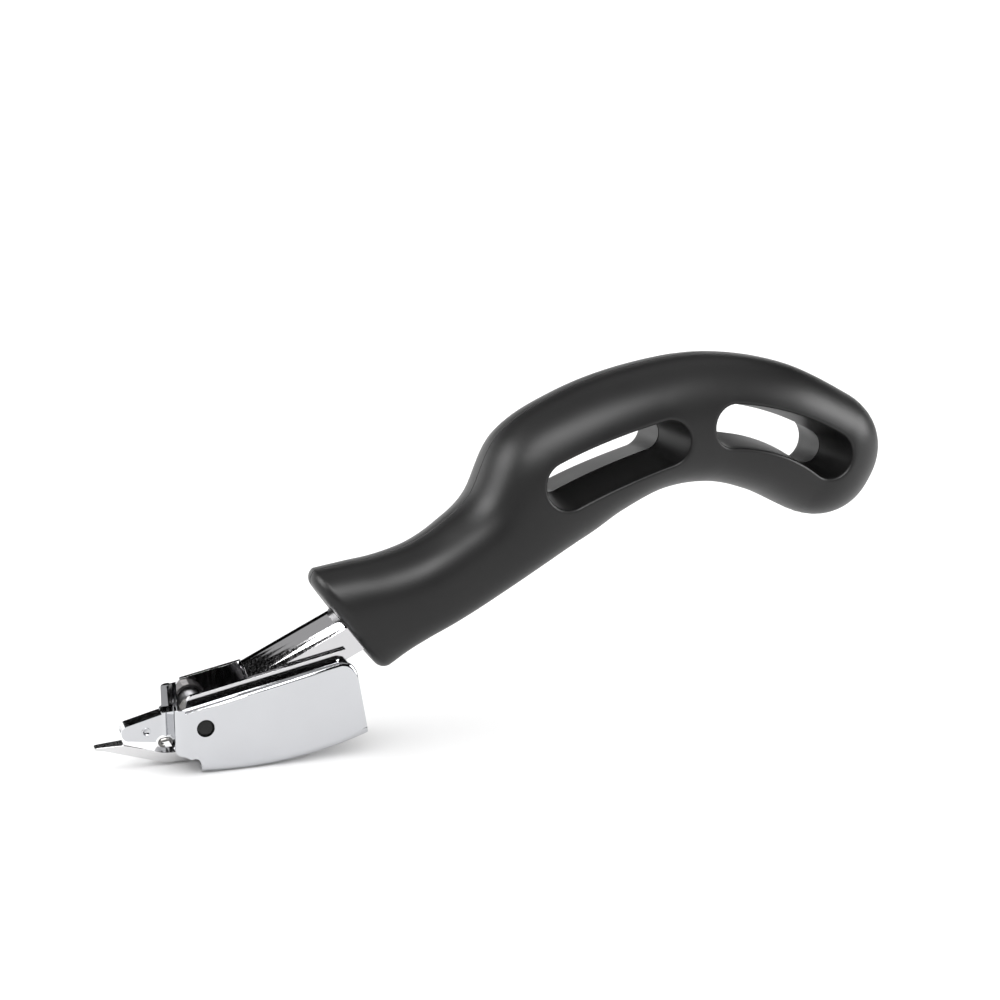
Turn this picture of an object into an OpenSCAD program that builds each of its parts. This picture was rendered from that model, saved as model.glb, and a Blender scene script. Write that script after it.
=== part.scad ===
// Heavy-duty staple remover: a pressed-steel head that rocks on its curved sole, with a lower
// blade and handle that turn together on one pivot pin, so that pressing the handle closes the blade
// on the fixed beak. Millimetres. X runs from the blade tip to the tail, Z is up.

/* [Overall] */
// Width of the head across its side plates
head_w = 19; // [18:0.5:22]
// Widest part of the handle
handle_w = 28; // [26:1:30]

/* [Head] */
// Thickness of the pressed sheet
sheet_t = 1.2; // [1:0.1:1.4]
// Slope of the plates' top edge, in degrees
top_slope = 11.7; // [10:0.1:13]
// Radius of the curved sole that the tool rocks on
sole_r = 80; // [70:1:95]
// Radius of the pivot pin
pin_r = 1.7; // [1.5:0.1:1.9]
// Width across the two halves of the beak
beak_w = 4; // [3.8:0.1:4.6]
// Outer width of the jaw carrier
carrier_w = 13.2; // [13:0.1:13.4]
// Outer width of the channel arm
arm_w = 10.8; // [10:0.1:10.9]

/* [Blade] */
// Thickness of the blade at its tip
tip_t = 0.5; // [0.4:0.1:0.8]
// Thickness of the blade at its root
root_t = 2; // [1.8:0.1:2]
// Width of the blade
blade_w = 3.6; // [3:0.1:4]

/* [Handle] */
// Wall thickness of the two handle shells
wall = 2.6; // [2.2:0.1:2.8]
// How much a slot narrows from the outer face to the parting plane
slot_draft = 1.3; // [0.6:0.1:1.5]

/* [Hidden] */
$fn = 64;

// X of the tool's origin, measured from the blade tip
origin_x = 86;
half_w = head_w / 2;
inner_y = half_w - sheet_t;
beak_y = beak_w / 2;
carrier_y = carrier_w / 2;
flange_y = carrier_y + 0.3;
running_fit = 0.04;
press_fit = 0.05;

// Head, in X and Z
front = [14.6, 13.1];
edge_len = 37.2;
rear_bottom_x = 53.9;
sole_front_x = 19.6;
sole_x = 27;
pivot = [20.5, 9.4];
beak_rivet_at = [10, 7.4];
beak_rivet_r = 0.9;
corner_r = 3.2;
rear_tilt = 6;
top_bend_r = 0.9;
sole_bend_r = 1.6;
front_bend_r = 1.6;
beak_bend_r = 1.3;
flange_start = 3.6;
pin_recess = 0.45;

// Lever parts, in X and Z
carrier_front_x = 17.4;
carrier_rear_x = 49.6;
carrier_floor_end = 38;
carrier_t = 1.1;
carrier_floor_z = 2.6;
carrier_rise = 1.4;
bush_r = 2.4;
bush_half = carrier_y + 0.3;
spacer_r = 3.1;
spring_wire_r = 0.45;
spring_turns = 4;
spring_pitch = 1.02;
spring_r = 3.1;
spring_curl = [13.2, 4.9];
spring_curl_r = 0.55;
blade_end_x = 30.5;
blade_rivet_x = [22, 28];
blade_rivet_r = 1.2;
rivet_head_r = 1.45;
rivet_head_h = 0.7;
arm_slope = 25.7;
arm_t = 1.2;
arm_h = 9.05;
arm_mouth = [49.85, 29.2];
arm_front = -23;
arm_back = 37;
crown_rise = 3.25;
front_pin_at = [33, 12];
stop_at_x = 43;
cross_pin_r = 1.25;
tang_pins_along = [16, 31];
tang_pin_z = -4.75;
tang_pin_half = 7.6;

// Handle: centre X, centre Z, tilt, half height and share of the full half width
stations = [
    [52.6, 26.65, 36, 12.7, 0.67],
    [57.5, 28.3, 33, 11.35, 0.69],
    [62.8, 29.85, 28, 10.1, 0.71],
    [69.7, 32.5, 27, 9.45, 0.74],
    [77.3, 36.8, 38, 9.6, 0.80],
    [85.5, 42.6, 46, 10.7, 0.88],
    [93.4, 51.4, 40, 14.35, 0.95],
    [103.9, 57.7, 25, 14.1, 0.99],
    [117.1, 62.3, 10, 13.4, 1.00],
    [130.8, 63.5, 0, 13.75, 1.00],
    [144.7, 60.7, -16, 14.2, 1.00],
    [157.25, 54.7, -30, 14.1, 0.90],
];
station_steps = 3;
cap_step = 14.5;
lip_r = 2.4;
lip_step = 30;
section_n = 36;
section_power = 2.4;
slots = [
    [[95.3, 53.1, 5.0], [105, 57.0, 5.0], [116.7, 60.5, 4.8]],
    [[131.8, 63.3, 4.6], [144, 60.9, 4.5], [155.2, 55.5, 5.0]],
];
slot_wall = 2.2;
screws = [[86.3, 44], [124, 71.4], [165.3, 52.2]];
screw_r = 1.4;
screw_head_r = 2.6;
screw_head_y = 9.5;
screw_tip_y = -8;
boss_r = 3.2;

// Moves everything from tip-based X to the middle of the tool's length
module place() {
    translate([-origin_x, 0, 0]) children();
}

// An outline in X and Z, made solid between two Y values
module slab(y0, y1) {
    translate([0, y1, 0]) rotate([90, 0, 0]) linear_extrude(y1 - y0) children();
}

// A round bar along Y
module bar_y(at, r, y0, y1) {
    translate([at[0], y0, at[1]]) rotate([-90, 0, 0]) cylinder(r = r, h = y1 - y0);
}

// X along the plates' top edge and Z square to it
module on_top_edge() {
    translate([front[0], 0, front[1]]) rotate([0, -top_slope, 0]) children();
}

// X along the arm and Z square to it, from the crown of the arm at the handle's mouth
module on_arm() {
    translate([arm_mouth[0], 0, arm_mouth[1]]) rotate([0, -arm_slope, 0]) children();
}

function top_z(x) = front[1] + (x - front[0]) * tan(top_slope);
function arc(centre, r, a0, a1, n = 8) =
    [for (i = [0:n]) let (a = a0 + (a1 - a0) * i / n) [centre[0] + r * cos(a), centre[1] + r * sin(a)]];

// Centre of the plates' rounded rear top corner
corner_x = front[0] + edge_len * cos(top_slope) - corner_r * 0.94;
corner = [corner_x, top_z(corner_x) - corner_r / cos(top_slope)];
front_flat_x = front[0] + front_bend_r;
front_low_z = 4.06;

// Under the plates' top flanges, which the stop pin meets when the jaws are open
stop_at = [stop_at_x, top_z(stop_at_x) - (sheet_t + cross_pin_r + 0.06) / cos(top_slope)];

// Side plate: the flat wall's outline
module plate_outline() {
    intersection() {
        polygon(concat(
            [[front_flat_x, front_low_z], [front_flat_x, top_z(front_flat_x)]],
            arc(corner, corner_r, 90 + top_slope, rear_tilt),
            [[rear_bottom_x, 0], [sole_front_x, 0], [sole_front_x - 0.2, 2.4]],
            arc([18.2, 2.2], 1.2, 40, 120, 5)
        ));
        translate([sole_x, sole_r]) circle(r = sole_r, $fn = 180);
    }
}

// What lies outside a bend of radius r, for a profile whose outer corner is at the origin
module bend_corner(r) {
    difference() {
        translate([-r, -r]) square([r + 1, r + 1]);
        translate([-r, -r]) circle(r = r);
    }
}

// Runs along the top edge and round the rear corner
module top_flange() {
    along = [cos(top_slope), sin(top_slope)];
    inward = [sin(top_slope), -cos(top_slope)];
    start = front + flange_start * along;
    slab(-half_w, -flange_y) polygon(concat(
        [start],
        arc(corner, corner_r, 90 + top_slope, rear_tilt),
        arc(corner, corner_r - sheet_t, rear_tilt, 90 + top_slope),
        [start + sheet_t * inward]
    ));
}

// Rounds the bend between the wall and the flange: the straight edge, then the corner in steps
module top_bend_cut() {
    for (turn = [0:24:72]) {
        reach = turn == 0 ? edge_len : corner_r;
        translate([corner[0], 0, corner[1]]) rotate([0, turn - top_slope, 0])
            translate([-reach, -half_w, corner_r]) rotate([90, 0, 90])
                linear_extrude(reach + corner_r) mirror([1, 0]) bend_corner(top_bend_r);
    }
}

module sole_flange() {
    intersection() {
        slab(-half_w, -flange_y) plate_outline();
        translate([sole_x, 0, sole_r]) rotate([90, 0, 0]) rotate_extrude($fn = 180)
            translate([sole_r - sheet_t, flange_y]) square([sheet_t, half_w - flange_y]);
    }
}

// Along the curved sole
module sole_bend_cut() {
    translate([sole_x, 0, sole_r]) rotate([90, 0, 0]) rotate_extrude($fn = 180)
        translate([sole_r, half_w]) bend_corner(sole_bend_r);
}

// The wall that closes the front of the head, from the side plate in to the beak
module front_wall() {
    bend = [front_flat_x, -half_w + front_bend_r];
    intersection() {
        linear_extrude(15) polygon(concat(
            [[front_flat_x + 0.4, -half_w]],
            arc(bend, front_bend_r, 270, 187, 6),
            [
                [13.8, -beak_y - 0.5], [13.2, -beak_y], [13.2, -beak_y + sheet_t],
                [14.6, -beak_y + sheet_t], [15.1, -beak_y + 0.3],
            ],
            arc(bend, front_bend_r - sheet_t, 187, 270, 3),
            [[front_flat_x + 0.4, -half_w + sheet_t]]
        ));
        rotate([90, 0, 90]) linear_extrude(20) polygon([
            [-half_w, front_low_z], [-half_w, top_z(front_flat_x)], [-half_w + 1, 13.3], [-beak_y, 11],
            [0, 11], [0, 6.4], [-beak_y, 6.4], [-half_w + front_bend_r, 5],
        ]);
    }
}

beak_nose = [6.8, 7.4];
beak_nose_r = 1.6;
beak_top = [arc(beak_nose, beak_nose_r, 110, 110, 1)[0], [14.4, 11]];
beak_slope = atan2(beak_top[1][1] - beak_top[0][1], beak_top[1][0] - beak_top[0][0]);

module beak_outline() {
    difference() {
        polygon(concat(arc(beak_nose, beak_nose_r, 110, 250, 12), [[12, 5.1], [14.4, 5.1], beak_top[1]]));
        translate([13.6, 4.6]) circle(r = 1.9);
    }
}

module beak_half() {
    difference() {
        union() {
            slab(-beak_y, -beak_y + sheet_t) beak_outline();
            intersection() {
                slab(-beak_y, 0) beak_outline();
                slab(-beak_y, 0) polygon([[4.4, 7.6], [14.4, 9.8], [14.4, 12], [4.4, 10]]);
            }
        }
        translate([beak_top[0][0], -beak_y, beak_top[0][1]]) rotate([0, -beak_slope, 0])
            translate([-3, 0, 0]) rotate([90, 0, 90]) linear_extrude(9.8)
                mirror([1, 0]) bend_corner(beak_bend_r);
    }
}

// The left pressing: side wall, top flange, curled sole, front wall and half of the beak
module side_plate() {
    difference() {
        union() {
            slab(-half_w, -inner_y) plate_outline();
            top_flange();
            sole_flange();
        }
        top_bend_cut();
        sole_bend_cut();
        bar_y(pivot, pin_r + press_fit, -half_w - 1, -inner_y + 1);
    }
    difference() {
        union() {
            front_wall();
            beak_half();
        }
        bar_y(beak_rivet_at, beak_rivet_r, -beak_w, 0.5);
    }
}

module left_side_plate() {
    color("gainsboro") place() side_plate();
}

module right_side_plate() {
    color("gainsboro") place() mirror([0, 1, 0]) side_plate();
}

// Headed flush on both sides of the beak, with a dimple in each end
module beak_rivet() {
    head_y = beak_y + 0.12;
    dimple_y = beak_y + 0.75;
    color("silver") place() difference() {
        bar_y(beak_rivet_at, beak_rivet_r, -head_y, head_y);
        for (side = [-1, 1])
            translate([beak_rivet_at[0], side * dimple_y, beak_rivet_at[1]]) sphere(r = beak_rivet_r);
    }
}

module pivot_pin() {
    end = half_w - pin_recess;
    chamfer = 0.35;
    color("dimgray") place() translate([pivot[0], 0, pivot[1]]) rotate([90, 0, 0]) rotate_extrude()
        polygon([
            [0, -end], [pin_r - chamfer, -end], [pin_r, -end + chamfer],
            [pin_r, end - chamfer], [pin_r - chamfer, end], [0, end],
        ]);
}

module pivot_spacer() {
    difference() {
        bar_y(pivot, spacer_r, bush_half + 0.08, inner_y - 0.02);
        bar_y(pivot, pin_r + press_fit, 0, half_w);
    }
}

module left_pivot_spacer() {
    color("silver") place() mirror([0, 1, 0]) pivot_spacer();
}

module right_pivot_spacer() {
    color("silver") place() pivot_spacer();
}

module pivot_bush() {
    color("darkkhaki") place() difference() {
        bar_y(pivot, bush_r, -bush_half, bush_half);
        bar_y(pivot, pin_r + running_fit, -half_w, half_w);
    }
}

// The spring wire's centre line: a front leg, the turns about the bush, and a rear leg
function coil_y(turn) = (turn - spring_turns / 2) * spring_pitch;
function coil_point(turn) =
    [pivot[0] + spring_r * cos(360 * turn - 90), coil_y(turn), pivot[1] + spring_r * sin(360 * turn - 90)];
spring_path = concat(
    [for (a = [-60:-30:-270]) [
        spring_curl[0] + spring_curl_r * cos(a), coil_y(0), spring_curl[1] + spring_curl_r * sin(a)]],
    [[16.5, coil_y(0), 5.8]],
    [for (i = [0:16 * spring_turns]) coil_point(i / 16)],
    [[24, coil_y(spring_turns), 5.4], [30, coil_y(spring_turns), 4.2]]
);
function path_dir(p, i) =
    let (a = p[max(i - 1, 0)], b = p[min(i + 1, len(p) - 1)], d = b - a) d / norm(d);

// Faces of a closed tube through rings of points, each ring with the same number of sides
function tube_faces(rings, sides) = concat(
    [[for (k = [0:sides - 1]) k]],
    [for (i = [0:rings - 2], k = [0:sides - 1], half = [0, 1])
        let (a = i * sides, b = a + sides, n = (k + 1) % sides)
        half == 0 ? [a + k, b + k, b + n] : [a + k, b + n, a + n]],
    [[for (k = [sides - 1:-1:0]) (rings - 1) * sides + k]]
);

// A round wire swept along a path that keeps mostly to X and Z
module wire(path, r, sides = 10) {
    points = [
        for (i = [0:len(path) - 1])
            let (d = path_dir(path, i), side = cross(d, [0, 1, 0]), u = side / norm(side), v = cross(d, u))
            for (k = [0:sides - 1]) let (a = 360 * k / sides) path[i] + r * (cos(a) * u + sin(a) * v)
    ];
    polyhedron(points, tube_faces(len(path), sides));
}

module torsion_spring() {
    color("slategray") place() wire(spring_path, spring_wire_r);
}

module carrier_outline() {
    nose_r = 1.6;
    nose = [carrier_front_x + nose_r, top_z(carrier_front_x + nose_r) + carrier_rise - nose_r];
    polygon(concat(
        [[carrier_front_x, carrier_floor_z]],
        arc(nose, nose_r, 180, 90 + top_slope),
        [
            [carrier_rear_x, top_z(carrier_rear_x) + carrier_rise],
            [carrier_rear_x, 12], [carrier_floor_end, carrier_floor_z],
        ]
    ));
}

// Open channel that turns on the pivot and holds the blade and the arm
module jaw_carrier() {
    color("gainsboro") place() difference() {
        union() {
            slab(-carrier_y, -carrier_y + carrier_t) carrier_outline();
            slab(carrier_y - carrier_t, carrier_y) carrier_outline();
            translate([carrier_front_x, -carrier_y + carrier_t / 2, carrier_floor_z])
                cube([carrier_floor_end - carrier_front_x, carrier_w - carrier_t, carrier_t]);
        }
        bar_y(pivot, bush_r, -half_w, half_w);
        bar_y(front_pin_at, cross_pin_r, -half_w, half_w);
        bar_y(stop_at, cross_pin_r, -half_w, half_w);
        for (x = blade_rivet_x) translate([x, 0, 0]) cylinder(r = blade_rivet_r, h = 8);
    }
}

module blade_outline() {
    root_top = carrier_floor_z;
    polygon([
        [0, 4.9], [2, 5], [5.6, 5.1], [7, 4.75], [13.2, 2.75], [14.4, root_top],
        [blade_end_x, root_top], [blade_end_x, root_top - root_t], [14, root_top - root_t], [13.2, 0.66],
        [6.5, 2.85], [2, 4.1], [0, 4.9 - tip_t],
    ]);
}

// Lower jaw: a bar ground to a thin chisel tip, with its root flat under the carrier
module blade() {
    color("silver") place() difference() {
        intersection() {
            slab(-blade_w / 2, blade_w / 2) blade_outline();
            linear_extrude(8) polygon([
                [0, -0.9], [0.4, -1.15], [5.5, -blade_w / 2], [33, -blade_w / 2],
                [33, blade_w / 2], [5.5, blade_w / 2], [0.4, 1.15], [0, 0.9],
            ]);
        }
        for (x = blade_rivet_x) translate([x, 0, -1]) cylinder(r = blade_rivet_r, h = 8);
    }
}

module blade_rivets() {
    color("silver") place() for (x = blade_rivet_x) {
        translate([x, 0, carrier_floor_z - root_t])
            cylinder(r = blade_rivet_r, h = root_t + carrier_t);
        translate([x, 0, carrier_floor_z + carrier_t]) cylinder(r = rivet_head_r, h = rivet_head_h);
    }
}

// The arm's channel: flat sides and an arched top, drawn smaller all round by inset
module arm_bar(inset, h, x0, x1) {
    crown_r = (arm_w * arm_w / 4 + crown_rise * crown_rise) / (2 * crown_rise);
    w = arm_w - 2 * inset;
    on_arm() translate([x0, 0, 0]) rotate([90, 0, 90]) linear_extrude(x1 - x0) intersection() {
        translate([-w / 2, -h]) square([w, h]);
        translate([0, -crown_r]) circle(r = crown_r - inset, $fn = 120);
    }
}

module lever_arm() {
    color("gainsboro") place() difference() {
        union() {
            arm_bar(0, arm_h, arm_front, arm_back);
            slab(-arm_w / 2, arm_w / 2) polygon([
                [33, 9.5], [31, 15], [47.5, 23], [49.5, 18.5], [46, 14], [37, 9.5],
            ]);
        }
        arm_bar(arm_t, 22, arm_front - 2, arm_back + 2);
        slab(-half_w, half_w) polygon([[20, 0], [20, 20], [29.5, 20], [31.5, 9], [31.5, 0]]);
        bar_y(front_pin_at, cross_pin_r, -half_w, half_w);
        bar_y(stop_at, cross_pin_r, -half_w, half_w);
        for (x = tang_pins_along) on_arm() bar_y([x, tang_pin_z], cross_pin_r, -half_w, half_w);
    }
}

module front_arm_pin() {
    color("silver") place() bar_y(front_pin_at, cross_pin_r, -carrier_y, carrier_y);
}

module stop_pin() {
    color("silver") place() bar_y(stop_at, cross_pin_r, -inner_y + 0.5, inner_y - 0.5);
}

module tang_pins() {
    color("silver") place() for (x = tang_pins_along)
        on_arm() bar_y([x, tang_pin_z], cross_pin_r, -tang_pin_half, tang_pin_half);
}

// Smooth curve through four neighbouring values
function smooth(a, b, c, d, t) =
    (2 * b + (c - a) * t + (2 * a - 5 * b + 4 * c - d) * t * t + (3 * b - 3 * c + d - a) * t * t * t) / 2;
function station(i) = stations[min(max(i, 0), len(stations) - 1)];
function between(u) =
    let (i = min(floor(u), len(stations) - 2), t = u - i)
    smooth(station(i - 1), station(i), station(i + 1), station(i + 2), t);
// A section moved by d along the handle, with its half sizes made smaller by inset
function moved(s, d, inset) =
    [s[0] + d * cos(s[2]), s[1] + d * sin(s[2]), s[2], s[3] - inset, s[4] - 2 * inset / handle_w];
tail = stations[len(stations) - 1];
// The rounded lip of the mouth, the length of the handle, then the domed tail
sections = concat(
    [for (a = [90:-lip_step:lip_step]) moved(stations[0], -lip_r * sin(a), lip_r * (1 - cos(a)))],
    [for (k = [0:station_steps * (len(stations) - 1)]) between(k / station_steps)],
    [for (a = [cap_step:cap_step:88])
        let (s = moved(tail, tail[3] * sin(a), 0))
        [s[0], s[1], s[2], s[3] * cos(a), s[4] * cos(a)]]
);

function rounded(c) = sign(c) * pow(abs(c), 2 / section_power);

// The handle's form through its rounded oval sections, smaller all round by inset
module swept(inset, first, last) {
    points = [
        for (i = [first:last])
            let (s = sections[i], high = s[3] - inset, wide = s[4] * handle_w / 2 - inset)
            for (k = [0:section_n - 1])
                let (t = 360 * k / section_n, w = high * rounded(sin(t)))
                [s[0] - w * sin(s[2]), wide * rounded(cos(t)), s[1] + w * cos(s[2])]
    ];
    polyhedron(points, tube_faces(last - first + 1, section_n));
}

// A slot's own space on the left half, narrowing towards the parting plane
module slot_half(path, grow) {
    for (i = [0:len(path) - 2]) hull() for (p = [path[i], path[i + 1]]) {
        translate([p[0], 0.01, p[1]]) rotate([90, 0, 0])
            cylinder(r = p[2] - slot_draft + grow, h = 0.02, $fn = 32);
        translate([p[0], -handle_w / 2, p[1]]) rotate([90, 0, 0])
            cylinder(r = p[2] + grow, h = 1, $fn = 32);
    }
}

// The handle's left half, hollow, with walled slots, ribs on the arm and bosses for the screws
module shell() {
    last = len(sections) - 1;
    cavity_start = 4;
    difference() {
        intersection() {
            swept(0, 0, last);
            translate([0, -50, -10]) cube([200, 50, 120]);
        }
        difference() {
            swept(wall, cavity_start, last - 2);
            for (path = slots) slot_half(path, slot_wall);
            for (at = screws) bar_y(at, boss_r, -20, 0);
            for (x = [tang_pins_along[0] - 8, tang_pins_along[0], tang_pins_along[1], arm_back + 3])
                on_arm() translate([x - 1.5, -20, -30]) cube([3, 20, 60]);
        }
        for (path = slots) slot_half(path, 0);
        on_arm() translate([-20, -arm_w / 2 - 0.1, -arm_h - 0.1])
            cube([arm_back + 20.3, arm_w, arm_h + 0.2]);
        for (x = tang_pins_along) on_arm()
            bar_y([x, tang_pin_z], cross_pin_r + 0.06, -tang_pin_half - 0.1, 1);
    }
}

module handle_left_shell() {
    color("#26272a") place() difference() {
        shell();
        for (at = screws) bar_y(at, screw_r + 0.1, screw_tip_y - 0.5, 1);
    }
}

module handle_right_shell() {
    color("#26272a") place() difference() {
        mirror([0, 1, 0]) shell();
        for (at = screws) {
            bar_y(at, screw_r + 0.2, -1, 20);
            bar_y(at, screw_head_r + 0.3, screw_head_y - 1.8, 20);
        }
    }
}

module handle_screws() {
    color("darkgray") place() for (at = screws) difference() {
        union() {
            bar_y(at, screw_r, screw_tip_y, screw_head_y - 1.7);
            bar_y(at, screw_head_r, screw_head_y - 1.75, screw_head_y);
        }
        for (turn = [0, 90]) translate([at[0], screw_head_y, at[1]]) rotate([0, turn, 0])
            cube([3.2, 1.6, 0.6], center = true);
    }
}

left_side_plate();
right_side_plate();
beak_rivet();
pivot_pin();
left_pivot_spacer();
right_pivot_spacer();
pivot_bush();
torsion_spring();
jaw_carrier();
blade();
blade_rivets();
lever_arm();
front_arm_pin();
stop_pin();
tang_pins();
handle_left_shell();
handle_right_shell();
handle_screws();
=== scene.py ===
"""Visual model of a heavy-duty staple remover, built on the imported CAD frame.

The handle's two shells are made here as smooth closed meshes. Every other piece keeps its CAD solid, with
rounded edges and a procedural material. The handle is worked out in millimetres and scaled by MM.
"""

import math

import bmesh
import bpy
from mathutils import Matrix, Vector


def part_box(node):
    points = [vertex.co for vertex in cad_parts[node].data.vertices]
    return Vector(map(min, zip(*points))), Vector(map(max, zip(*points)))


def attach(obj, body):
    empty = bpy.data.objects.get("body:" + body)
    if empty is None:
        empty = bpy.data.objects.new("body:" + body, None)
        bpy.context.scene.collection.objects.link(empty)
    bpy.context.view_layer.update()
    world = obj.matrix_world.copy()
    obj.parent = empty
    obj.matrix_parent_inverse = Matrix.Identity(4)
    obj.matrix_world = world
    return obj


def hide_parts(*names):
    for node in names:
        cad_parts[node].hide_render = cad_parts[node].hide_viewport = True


MM = 0.001
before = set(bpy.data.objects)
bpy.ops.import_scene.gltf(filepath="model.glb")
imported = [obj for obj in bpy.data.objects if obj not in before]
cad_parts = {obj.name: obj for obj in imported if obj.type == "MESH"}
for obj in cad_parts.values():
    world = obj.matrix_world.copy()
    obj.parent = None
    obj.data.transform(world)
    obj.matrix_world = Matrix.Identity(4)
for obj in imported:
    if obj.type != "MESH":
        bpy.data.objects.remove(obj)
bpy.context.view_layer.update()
# The blade's tip, from which the handle's X values are measured
TIP_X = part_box("blade")[0].x / MM

# ---------------------------------------------------------------- handle: the swept form

HANDLE_W = 28.0
# Power of the rounded cross-section: 2 is an ellipse, more is squarer
POWER = 2.4
LIP_R = 2.4
WALL = 2.6
# Centre X, centre Z, tilt, half height and share of the half width, along the handle
STATIONS = [
    (52.6, 26.65, 36, 12.7, 0.67),
    (57.5, 28.3, 33, 11.35, 0.69),
    (62.8, 29.85, 28, 10.1, 0.71),
    (69.7, 32.5, 27, 9.45, 0.74),
    (77.3, 36.8, 38, 9.6, 0.80),
    (85.5, 42.6, 46, 10.7, 0.88),
    (93.4, 51.4, 40, 14.35, 0.95),
    (103.9, 57.7, 25, 14.1, 0.99),
    (117.1, 62.3, 10, 13.4, 1.00),
    (130.8, 63.5, 0, 13.75, 1.00),
    (144.7, 60.7, -16, 14.2, 1.00),
    (157.25, 54.7, -30, 14.1, 0.90),
]
LAST = len(STATIONS) - 1
# The smooth skin sits this far inside the CAD shells, whose facets cut its corners
HAIR = 0.018
# The parting line: how far the skin stops short of it, as an angle, and how deep it is
SEAM_ANGLE = 0.012
SEAM_DEPTH = 0.16
# Centre X, centre Z and radius at the outer face, along each slot
SLOTS = [
    [(95.3, 53.1, 5.0), (105.0, 57.0, 5.0), (116.7, 60.5, 4.8)],
    [(131.8, 63.3, 4.6), (144.0, 60.9, 4.5), (155.2, 55.5, 5.0)],
]
SLOT_DRAFT = 1.3
SLOT_WALL = 2.2
RIM_R = 0.9
RIM_STEPS = 5
WELL_STEPS = 7
# How far the skin round the slots starts before the first one and ends after the last, in stations
SLOT_BEFORE, SLOT_AFTER = 0.62, 0.6
# The station where the hollow starts, behind the mouth's wall
HOLLOW_FROM = 0.55
# The arm's top edge at the mouth (X and Z), its slope, width, height and the rise of its crown
ARM_AT = (49.85, 29.2)
ARM_SLOPE = math.radians(25.7)
ARM_W, ARM_H, CROWN_RISE = 10.8, 9.05, 3.25
POCKET_GAP = 0.25
POCKET_DEPTH = 6.0
# X and Z of the screws, whose heads sit in recesses on the far side
SCREWS = [(86.3, 44), (124, 71.4), (165.3, 52.2)]
RECESS_R, RECESS_FLOOR, RECESS_DEEP = 2.9, 7.7, 12.0
RECESS_SIDES = 48
# Lines of points along each stretch of the skin, and how they crowd towards a slot's rim
SIDE_LINES, FRONT_LINES, TAIL_LINES, HOLLOW_LINES, LIP_LINES = 26, 52, 20, 46, 8
CROWDING = 1.15
# How far down its wall a slot's last ring is, as a share of the way to the parting plane
WELL_END = 0.985
# Edges that turn more than this are drawn sharp
SHARP_ANGLE = math.radians(38)
# Rounds of halving in each search for a point
HALVINGS = 40
# Stands in for zero where a size is divided by
TINY = 1e-6


def smooth(a, b, c, d, t):
    """Catmull-Rom curve from b to c."""
    return (2 * b + (c - a) * t + (2 * a - 5 * b + 4 * c - d) * t * t + (3 * b - 3 * c + d - a) * t**3) / 2


def section(s, inset=0.0):
    """(centre x, centre z, tilt, half height, half width) at s: -1 to 0 is the mouth's lip, 0 to LAST the
    length of the handle and LAST to LAST + 1 the domed tail."""
    along, less = 0.0, 0.0
    u = min(max(s, 0.0), float(LAST))
    i = min(int(u), LAST - 1)
    rows = [STATIONS[min(max(i + k, 0), LAST)] for k in (-1, 0, 1, 2)]
    x, z, tilt, high, wide = (smooth(*(row[k] for row in rows), u - i) for k in range(5))
    tilt = math.radians(tilt)
    high, wide = high - inset - HAIR, wide * HANDLE_W / 2 - inset - HAIR
    if s < 0:
        turn = -s * math.pi / 2
        along, less = -LIP_R * math.sin(turn), LIP_R * (1 - math.cos(turn))
        high, wide = high - less, wide - less
    if s > LAST:
        turn = min(s - LAST, 1.0) * math.pi / 2
        along = high * math.sin(turn)
        high, wide = high * math.cos(turn), wide * math.cos(turn)
    return x + along * math.cos(tilt), z + along * math.sin(tilt), tilt, high, wide


def surface(s, phi, inset=0.0):
    """Point (x, y, z) on the handle's left half; phi runs from -90 (bottom) to 90 degrees (top)."""
    x, z, tilt, high, wide = section(s, inset)
    c, v = abs(math.cos(phi)), abs(math.sin(phi))
    r = ((c / max(wide, TINY)) ** POWER + (v / max(high, TINY)) ** POWER) ** (-1 / POWER)
    w = r * math.sin(phi)
    return x - w * math.sin(tilt), -r * math.cos(phi), z + w * math.cos(tilt)


def locate(x, z, inset=0.0):
    """(s, phi, y) of the surface point beside x, z."""
    low, high = 0.0, LAST + 0.98
    for _ in range(HALVINGS):
        s = (low + high) / 2
        cx, cz, tilt, _a, _b = section(s, inset)
        if (x - cx) * math.cos(tilt) + (z - cz) * math.sin(tilt) > 0:
            low = s
        else:
            high = s
    cx, cz, tilt, a, b = section(s, inset)
    w = -(x - cx) * math.sin(tilt) + (z - cz) * math.cos(tilt)
    y = b * max(1 - min(abs(w) / a, 0.999) ** POWER, 0.0) ** (1 / POWER)
    return s, math.atan2(w, y), y


def slot_outline(path, n_end, n_side, grow=0.0):
    """Closed outline of a slot in x, z: the left end, the upper side, the right end and the lower side."""
    (x0, z0, r0), (x1, z1, r1), (x2, z2, r2) = path
    # Middle control point of the curve through all three centres
    bx, bz, br = 2 * x1 - (x0 + x2) / 2, 2 * z1 - (z0 + z2) / 2, 2 * r1 - (r0 + r2) / 2

    def centre(t):
        k = ((1 - t) ** 2, 2 * t * (1 - t), t * t)
        x, z, r = (k[0] * a + k[1] * b + k[2] * c for a, b, c in ((x0, bx, x2), (z0, bz, z2), (r0, br, r2)))
        dx, dz = (2 * (1 - t) * (b - a) + 2 * t * (c - b) for a, b, c in ((x0, bx, x2), (z0, bz, z2)))
        return x, z, r + grow, math.atan2(dz, dx)

    points = []
    for t, start, n in ((0, 1.5, n_end), (1, 0.5, n_end)):
        x, z, r, turn = centre(t)
        for k in range(n):
            a = turn + math.pi * (start - k / n)
            points.append((x + r * math.cos(a), z + r * math.sin(a)))
        for k in range(n_side):
            f = k / n_side
            x, z, r, turn = centre(f if t == 0 else 1 - f)
            a = turn + (math.pi / 2 if t == 0 else -math.pi / 2)
            points.append((x + r * math.cos(a), z + r * math.sin(a)))
    return points


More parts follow.
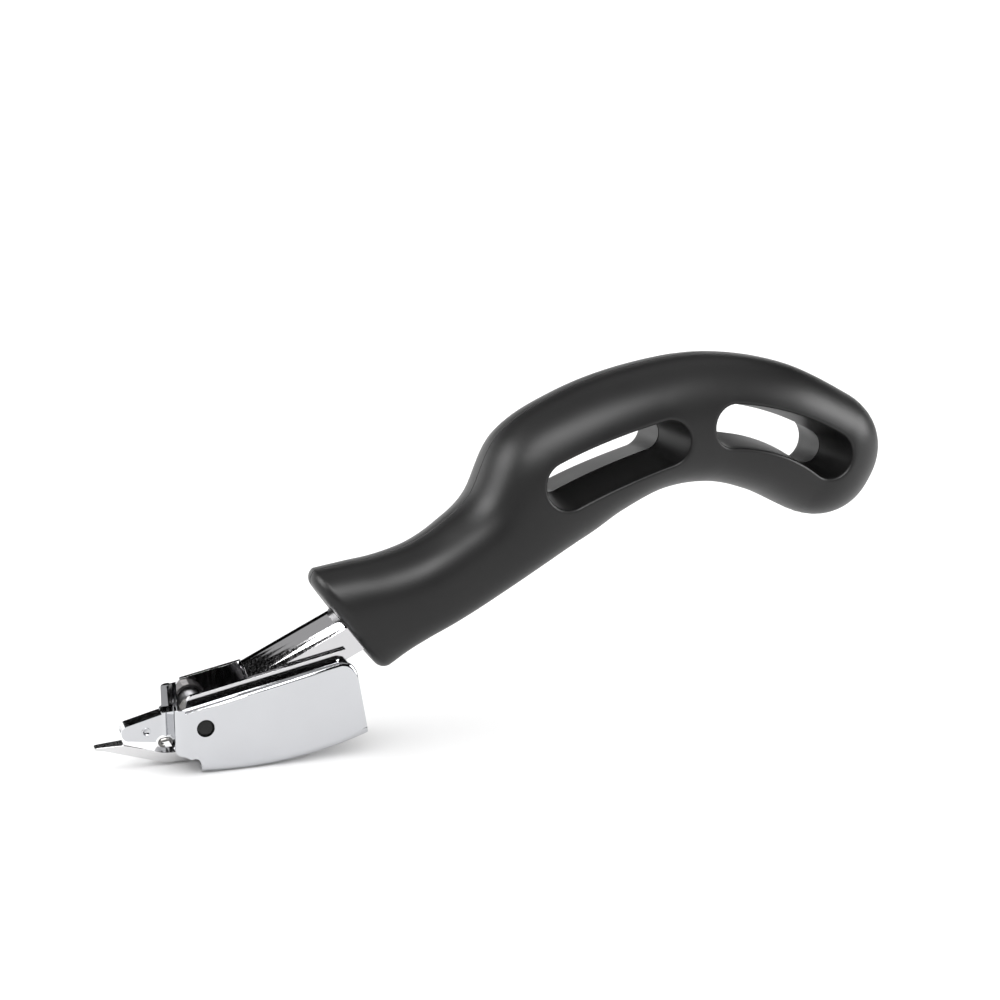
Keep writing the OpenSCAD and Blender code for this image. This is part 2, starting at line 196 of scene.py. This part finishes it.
class Shell:
    """Collects points and faces of one half shell; equal points are the same vertex."""

    def __init__(self):
        self.points, self.faces, self.index = [], [], {}

    def vertex(self, p):
        key = tuple(round(c, 4) for c in p)
        if key not in self.index:
            self.index[key] = len(self.points)
            self.points.append(p)
        return self.index[key]

    def face(self, *corners):
        ids = []
        for p in corners:
            i = self.vertex(p)
            if i not in ids:
                ids.append(i)
        if len(ids) > 2:
            self.faces.append(ids)

    def strip(self, a, b, closed=False):
        n = len(a)
        for k in range(n if closed else n - 1):
            j = (k + 1) % n
            self.face(a[k], a[j], b[j], b[k])


def spaced(a, b, n):
    return [a + (b - a) * k / n for k in range(n + 1)]


def arm_pocket(depth, phis):
    """The pocket's outline on the mouth's plane, pushed in by depth along the arm, left half."""
    px, pz, tilt, _a, _b = section(-1)
    nx, nz = math.cos(tilt), math.sin(tilt)
    ax, az = math.cos(ARM_SLOPE), math.sin(ARM_SLOPE)
    half_w, top, bottom = ARM_W / 2 + POCKET_GAP, POCKET_GAP, -ARM_H - POCKET_GAP
    crown_r = (ARM_W**2 / 4 + CROWN_RISE**2) / (2 * CROWN_RISE) + POCKET_GAP
    mid = (top + bottom) / 2
    outline = []
    for phi in phis:
        low, high = 0.0, 20.0
        for _ in range(HALVINGS):
            r = (low + high) / 2
            y, h = r * math.cos(phi), mid + r * math.sin(phi)
            inside = y < half_w and bottom < h and math.hypot(y, h + crown_r - POCKET_GAP) < crown_r
            low, high = (r, high) if inside else (low, r)
        y, h = low * math.cos(phi), mid + low * math.sin(phi)
        x, z = ARM_AT[0] - h * az, ARM_AT[1] + h * ax
        along = ((px - x) * nx + (pz - z) * nz) / (ax * nx + az * nz) + depth
        outline.append((x + along * ax, -y, z + along * az))
    return outline


def half_shell():
    """The handle's left half as a closed shell: outer skin, inner skin, slots, mouth and parting faces."""
    shell = Shell()
    n_phi, step = ((48, 1.0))
    phis = spaced(-math.pi / 2 + SEAM_ANGLE, math.pi / 2 - SEAM_ANGLE, n_phi)
    n_side = int(SIDE_LINES / step)
    cuts = [(locate(*path[0][:2])[0], locate(*path[2][:2])[0]) for path in SLOTS]
    edges = [cuts[0][0] - SLOT_BEFORE, (cuts[0][1] + cuts[1][0]) / 2, cuts[1][1] + SLOT_AFTER]
    lip = spaced(-1, 0, LIP_LINES)[:-1]
    front = spaced(0, edges[0], int(FRONT_LINES / step))
    tail = spaced(edges[2], LAST + 1, int(TAIL_LINES / step))

    def skin(s, phi, inset, groove):
        if groove:
            x, _y, z = surface(s, math.copysign(math.pi / 2, phi), inset + SEAM_DEPTH)
            return x, 0.0, z
        return surface(s, phi, inset)

    def rows(stations, inset):
        """Lines of points across the half section, with the parting edge's points at both ends."""
        return [
            [skin(s, -1, inset, True)]
            + [skin(s, p, inset, False) for p in phis]
            + [skin(s, 1, inset, True)]
            for s in stations
        ]

    def sheet(lines):
        for a, b in zip(lines, lines[1:]):
            shell.strip(a, b)
        return lines

    def holed_block(s0, s1, path, inset, grow, layers=9):
        """The skin between s0 and s1 round one slot; returns the slot's outline on it."""
        outline = slot_outline(path, n_phi, n_side, grow)
        inner = [locate(x, z, inset)[:2] for x, z in outline]
        across = spaced(s0, s1, n_side)
        outer = [(s0, p) for p in phis[:-1]] + [(s, phis[-1]) for s in across[:-1]]
        outer += [(s1, p) for p in reversed(phis[1:])] + [(s, phis[0]) for s in reversed(across[1:])]
        rings = []
        for k in range(layers + 1):
            f = (k / layers) ** CROWDING
            rings.append([
                surface(a + (c - a) * f, b + (d - b) * f, inset) for (a, b), (c, d) in zip(outer, inner)
            ])
        for a, b in zip(rings, rings[1:]):
            shell.strip(a, b, closed=True)
        for p in (phis[0], phis[-1]):
            shell.strip([surface(s, p, inset) for s in across], [skin(s, p, inset, True) for s in across])
        return outline, rings[-1]

    # Outer skin
    outer_front = sheet(rows(lip + front, 0))
    outer_tail = sheet(rows(tail, 0))
    holes = [holed_block(edges[i], edges[i + 1], SLOTS[i], 0, RIM_R) for i in range(2)]

    # Inner skin, from the back of the mouth's wall
    inner_front = sheet(rows(spaced(HOLLOW_FROM, edges[0], int(HOLLOW_LINES / step)), WALL))
    inner_tail = sheet(rows(tail, WALL))
    wells = [holed_block(edges[i], edges[i + 1], SLOTS[i], WALL, SLOT_WALL) for i in range(2)]

    # Slot walls: a rounded rim, then a drafted wall down to the parting plane, and the same wall's back
    for path, (_o, rim), (_w, well) in zip(SLOTS, holes, wells):
        previous = rim
        outlines = []
        for k in range(1, RIM_STEPS + 1):
            turn = k / RIM_STEPS * math.pi / 2
            outlines.append((RIM_R * (1 - math.sin(turn)), RIM_R * (1 - math.cos(turn)), None))
        outlines += [(0, RIM_R, share) for share in spaced(0, 1, WELL_STEPS)[1:]]
        outlines[-1] = (0, RIM_R, WELL_END)
        for grow, depth, share in outlines:
            draft = 0 if share is None else -SLOT_DRAFT * share
            ring = []
            for x, z in slot_outline(path, n_phi, n_side, grow + draft):
                y = locate(x, z)[2] - depth
                ring.append((x, -y * (1 - (share or 0)), z))
            shell.strip(previous, ring, closed=True)
            previous = ring
        edge = [(x, 0.0, z) for x, z in slot_outline(path, n_phi, n_side, SEAM_DEPTH - SLOT_DRAFT)]
        back = [(x, 0.0, z) for x, z in slot_outline(path, n_phi, n_side, SLOT_WALL - SLOT_DRAFT)]
        shell.strip(previous, edge, closed=True)
        shell.strip(edge, back, closed=True)
        shell.strip(back, well, closed=True)

    # Mouth: the end face, the pocket that the arm sits in, and the wall behind it
    mouth_phis = [-math.pi / 2] + phis + [math.pi / 2]
    face_out = arm_pocket(0, mouth_phis)
    face_in = arm_pocket(POCKET_DEPTH, mouth_phis)
    shell.strip(outer_front[0], face_out)
    shell.strip(face_out, face_in)
    shell.strip(face_in, inner_front[0])

    # Parting faces along the top and the bottom
    for end in (0, -1):
        sign = -1 if end == 0 else 1
        outer = [row[end] for row in outer_front[len(lip):]]
        inner = [row[end] for row in inner_front]
        fan(shell, outer, inner)
        shell.face(outer_front[0][end], face_out[end], face_in[end], inner_front[0][end])
        corner = [row[end] for row in outer_front[:len(lip) + 1]] + [inner_front[0][end]]
        shell.faces.append([shell.vertex(p) for p in corner])
        for i in range(2):
            across = spaced(edges[i], edges[i + 1], n_side)
            shell.strip(*([skin(s, sign, inset, True) for s in across] for inset in (0, WALL)))
        shell.strip([row[end] for row in outer_tail], [row[end] for row in inner_tail])
    return shell


def fan(shell, a, b):
    """Quads and triangles between two open lines with different numbers of points."""
    i = j = 0
    while i < len(a) - 1 or j < len(b) - 1:
        if j == len(b) - 1 or (i < len(a) - 1 and (i + 1) / (len(a) - 1) <= (j + 1) / (len(b) - 1)):
            shell.face(a[i], a[i + 1], b[j])
            i += 1
        else:
            shell.face(a[i], b[j + 1], b[j])
            j += 1


def sink_heads(mesh):
    """Cuts a recess for each screw head out of the far half of the handle."""
    bm = bmesh.new()
    for x, z in SCREWS:
        centre = Vector((x + TIP_X, RECESS_FLOOR + RECESS_DEEP / 2, z)) * MM
        turned = Matrix.Translation(centre) @ Matrix.Rotation(math.pi / 2, 4, "X")
        radius, depth = RECESS_R * MM, RECESS_DEEP * MM
        bmesh.ops.create_cone(
            bm, cap_ends=True, segments=RECESS_SIDES,
            radius1=radius, radius2=radius, depth=depth, matrix=turned,
        )
    drill = bpy.data.meshes.new("drill")
    bm.to_mesh(drill)
    bm.free()
    blank, cutter = (bpy.data.objects.new(m.name, m) for m in (mesh, drill))
    for obj in (blank, cutter):
        bpy.context.scene.collection.objects.link(obj)
    cut = blank.modifiers.new("recesses", "BOOLEAN")
    cut.operation = "DIFFERENCE"
    cut.solver = "EXACT"
    cut.object = cutter
    bpy.context.view_layer.update()
    result = bpy.data.meshes.new_from_object(blank.evaluated_get(bpy.context.evaluated_depsgraph_get()))
    for obj in (blank, cutter):
        bpy.data.objects.remove(obj)
    for old in (mesh, drill):
        bpy.data.meshes.remove(old)
    return result


def mesh_object(name, points, faces, body, material, mirror=False):
    """Makes a half shell's object; the mirrored one is the far half, with its screw recesses."""
    side = -1 if mirror else 1
    mesh = bpy.data.meshes.new(name)
    mesh.from_pydata([((x + TIP_X) * MM, side * y * MM, z * MM) for x, y, z in points], [], faces)
    bm = bmesh.new()
    bm.from_mesh(mesh)
    bmesh.ops.recalc_face_normals(bm, faces=bm.faces)
    if bm.calc_volume(signed=True) < 0:
        bmesh.ops.reverse_faces(bm, faces=bm.faces)
    bm.to_mesh(mesh)
    bm.free()
    if mirror:
        mesh = sink_heads(mesh)
        mesh.name = name
    mesh.shade_smooth()
    mesh.set_sharp_from_angle(angle=SHARP_ANGLE)
    mesh.materials.append(material)
    obj = bpy.data.objects.new(name, mesh)
    bpy.context.scene.collection.objects.link(obj)
    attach(obj, body)
    return obj


# ---------------------------------------------------------------- materials


def material(name):
    m = bpy.data.materials.new(name)
    m.use_nodes = True
    nodes = m.node_tree.nodes
    return m, nodes, m.node_tree.links, nodes["Principled BSDF"]


def noise(nodes, links, scale, detail=4, stretch=None):
    """Noise in object space, in cells per metre, stretched along an axis when asked."""
    where = nodes.new("ShaderNodeTexCoord")
    tex = nodes.new("ShaderNodeTexNoise")
    tex.inputs["Scale"].default_value = scale
    tex.inputs["Detail"].default_value = detail
    if stretch:
        mapping = nodes.new("ShaderNodeMapping")
        mapping.inputs["Scale"].default_value = stretch
        links.new(where.outputs["Object"], mapping.inputs["Vector"])
        links.new(mapping.outputs["Vector"], tex.inputs["Vector"])
    else:
        links.new(where.outputs["Object"], tex.inputs["Vector"])
    return tex.outputs["Fac"]


def ramp(nodes, links, source, stops):
    """Maps a value through colour stops: [(position, grey or (r, g, b)), ...]."""
    node = nodes.new("ShaderNodeValToRGB")
    elements = node.color_ramp.elements
    while len(elements) < len(stops):
        elements.new(0.5)
    for e, (at, value) in zip(elements, stops):
        e.position = at
        rgb = value if isinstance(value, tuple) else (value,) * 3
        e.color = (*rgb, 1)
    links.new(source, node.inputs["Fac"])
    return node.outputs["Color"]


def bump(nodes, links, height, shader, strength, distance):
    node = nodes.new("ShaderNodeBump")
    node.inputs["Strength"].default_value = strength
    node.inputs["Distance"].default_value = distance
    links.new(height, node.inputs["Height"])
    links.new(node.outputs["Normal"], shader.inputs["Normal"])


def chrome(name, colour, rough=(0.05, 0.14), wave=0.05):
    """Bright plating: faint waviness from the pressing, fine wiped-on scratches in the roughness."""
    m, nodes, links, shader = material(name)
    shader.inputs["Metallic"].default_value = 1.0
    dull = tuple(c * 0.96 for c in colour)
    tint = ramp(nodes, links, noise(nodes, links, 90), [(0.3, dull), (0.7, colour)])
    links.new(tint, shader.inputs["Base Color"])
    scratches = noise(nodes, links, 2600, 6, (1, 1, 0.06))
    wiped = ramp(nodes, links, scratches, [(0.35, rough[0]), (0.75, rough[1])])
    links.new(wiped, shader.inputs["Roughness"])
    bump(nodes, links, noise(nodes, links, 140, 2), shader, wave, 0.0004)
    return m


def steel(name, colour, rough=(0.28, 0.42)):
    """Turned or drawn steel with a fine grain."""
    m, nodes, links, shader = material(name)
    shader.inputs["Metallic"].default_value = 1.0
    grain = noise(nodes, links, 5000, 5, (1, 0.08, 1))
    dull = tuple(c * 0.8 for c in colour)
    links.new(ramp(nodes, links, grain, [(0.3, dull), (0.7, colour)]), shader.inputs["Base Color"])
    links.new(ramp(nodes, links, grain, [(0.3, rough[0]), (0.7, rough[1])]), shader.inputs["Roughness"])
    bump(nodes, links, grain, shader, 0.15, 0.00003)
    return m


def black_oxide():
    """Blackened steel, its tone and roughness varying at random with a fine grain."""
    m, nodes, links, shader = material("black_oxide")
    shader.inputs["Metallic"].default_value = 0.6
    grain = noise(nodes, links, 3000, 5)
    links.new(ramp(nodes, links, grain, [(0.3, 0.008), (0.75, 0.022)]), shader.inputs["Base Color"])
    links.new(ramp(nodes, links, grain, [(0.3, 0.3), (0.7, 0.5)]), shader.inputs["Roughness"])
    bump(nodes, links, grain, shader, 0.2, 0.00003)
    return m


def satin_plastic():
    """Moulded black ABS: a fine spark-eroded grain, and slight sheen changes from handling."""
    m, nodes, links, shader = material("satin_black_plastic")
    tone = noise(nodes, links, 60, 3)
    darker, paler = (0.0055, 0.0053, 0.0056), (0.008, 0.0077, 0.0078)
    links.new(ramp(nodes, links, tone, [(0.3, darker), (0.7, paler)]), shader.inputs["Base Color"])
    links.new(ramp(nodes, links, tone, [(0.3, 0.4), (0.75, 0.46)]), shader.inputs["Roughness"])
    shader.inputs["Specular IOR Level"].default_value = 0.33
    bump(nodes, links, noise(nodes, links, 3200, 3), shader, 0.22, 0.00004)
    return m


PLATE = chrome("plate_chrome", (0.545, 0.551, 0.569))
CARRIER = chrome("carrier_chrome", (0.555, 0.55, 0.561), wave=0.09)
BLADE = chrome("blade_steel", (0.63, 0.625, 0.63), rough=(0.08, 0.16))
STEEL = steel("bare_steel", (0.56, 0.56, 0.57))
SPRING = steel("spring_steel", (0.2, 0.195, 0.19))
OXIDE = black_oxide()
PLASTIC = satin_plastic()

# ---------------------------------------------------------------- pieces

shell = half_shell()
left = mesh_object("handle_left", shell.points, shell.faces, "lever", PLASTIC)
right = mesh_object("handle_right", shell.points, shell.faces, "lever", PLASTIC, mirror=True)
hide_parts("handle_left_shell")
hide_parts("handle_right_shell")

# Each CAD solid's material and the radius of its edges, in millimetres
FINISH = {
    "left_side_plate": (PLATE, 0.12),
    "right_side_plate": (PLATE, 0.12),
    "beak_rivet": (PLATE, 0.04),
    "jaw_carrier": (CARRIER, 0.12),
    "lever_arm": (CARRIER, 0.15),
    "blade": (BLADE, 0.12),
    "pivot_pin": (OXIDE, 0.12),
    "torsion_spring": (SPRING, 0),
    "left_pivot_spacer": (STEEL, 0.08),
    "right_pivot_spacer": (STEEL, 0.08),
    "pivot_bush": (STEEL, 0.08),
    "blade_rivets": (STEEL, 0.1),
    "front_arm_pin": (STEEL, 0.1),
    "stop_pin": (STEEL, 0.1),
    "tang_pins": (STEEL, 0.1),
    "handle_screws": (STEEL, 0.1),
}


# Points closer than this, in metres, are one point of the solid
WELD_GAP = 0.000002


def finish_node(name, look, edge):
    """Gives a CAD solid its metal and rounds its sharp edges."""
    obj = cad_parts[name]
    obj.data.materials.clear()
    obj.data.materials.append(look)
    weld = obj.modifiers.new("weld", "WELD")
    weld.merge_threshold = WELD_GAP
    if edge:
        rounding = obj.modifiers.new("rounded_edges", "BEVEL")
        rounding.width = edge * MM
        rounding.segments = 3
        rounding.limit_method = "ANGLE"
        rounding.angle_limit = math.radians(35)
        rounding.harden_normals = True
        rounding.use_clamp_overlap = True


for name, (look, edge) in FINISH.items():
    finish_node(name, look, edge)

# ---------------------------------------------------------------- studio

scene = bpy.context.scene
scene.view_settings.view_transform = "Standard"
scene.view_settings.look = "None"


def floor():
    """A wide sheet of pale matt paper."""
    m, nodes, links, shader = material("floor_paper")
    tone = ramp(nodes, links, noise(nodes, links, 12, 2), [(0.3, 0.9), (0.7, 0.92)])
    links.new(tone, shader.inputs["Base Color"])
    shader.inputs["Roughness"].default_value = 0.9
    mesh = bpy.data.meshes.new("floor")
    size = 8.0
    corners = [(-size, -size, 0), (size, -size, 0), (size, size, 0), (-size, size, 0)]
    mesh.from_pydata(corners, [], [(0, 1, 2, 3)])
    mesh.materials.append(m)
    obj = bpy.data.objects.new("floor", mesh)
    scene.collection.objects.link(obj)


def softbox(name, place, target, size, radiance):
    """A light for the reflections; the even surroundings light the floor."""
    data = bpy.data.lights.new(name, "AREA")
    data.shape = "RECTANGLE"
    data.size, data.size_y = size
    data.energy = radiance * math.pi * size[0] * size[1]
    obj = bpy.data.objects.new(name, data)
    obj.location = place
    obj.rotation_euler = (Vector(target) - Vector(place)).to_track_quat("-Z", "Y").to_euler()
    obj.visible_diffuse = False
    scene.collection.objects.link(obj)


def surroundings():
    """Even white light from all round on matt surfaces; reflections show the floor and the softboxes."""
    world = bpy.data.worlds.new("studio")
    scene.world = world
    world.use_nodes = True
    background = world.node_tree.nodes["Background"]
    background.inputs["Color"].default_value = (1, 1, 1, 1)
    background.inputs["Strength"].default_value = 1.5
    world.cycles_visibility.glossy = False


floor()
surroundings()
softbox("front_light", (-0.27, -0.76, 1.02), (0, 0, 0.03), (1.0, 0.58), 11.5)
softbox("left_light", (-1.02, 0.24, 0.64), (0, 0, 0.03), (0.8, 0.6), 9.5)
softbox("right_light", (1.16, -0.38, 0.47), (0, 0, 0.03), (0.6, 0.5), 14)
softbox("ceiling", (0.2, 0.5, 1.5), (0.2, 0.5, 0), (2.4, 2.4), 0.55)
softbox("backdrop", (0.3, 1.6, 0.26), (0, 0, 0.26), (3.6, 0.46), 1.9)

AIM = Vector((-1.4, 0, 48.45)) * MM
camera_data = bpy.data.cameras.new("camera")
camera_data.sensor_width = 36
camera_data.lens = 64.8
camera = bpy.data.objects.new("camera", camera_data)
azimuth, elevation, distance = math.radians(-19.5), math.radians(12), 0.372
level = math.cos(elevation)
back = Vector((math.sin(azimuth) * level, -math.cos(azimuth) * level, math.sin(elevation)))
camera.location = AIM + back * distance
camera.rotation_euler = (-back).to_track_quat("-Z", "Y").to_euler()
camera_data.clip_start = 0.01
scene.collection.objects.link(camera)
scene.camera = camera
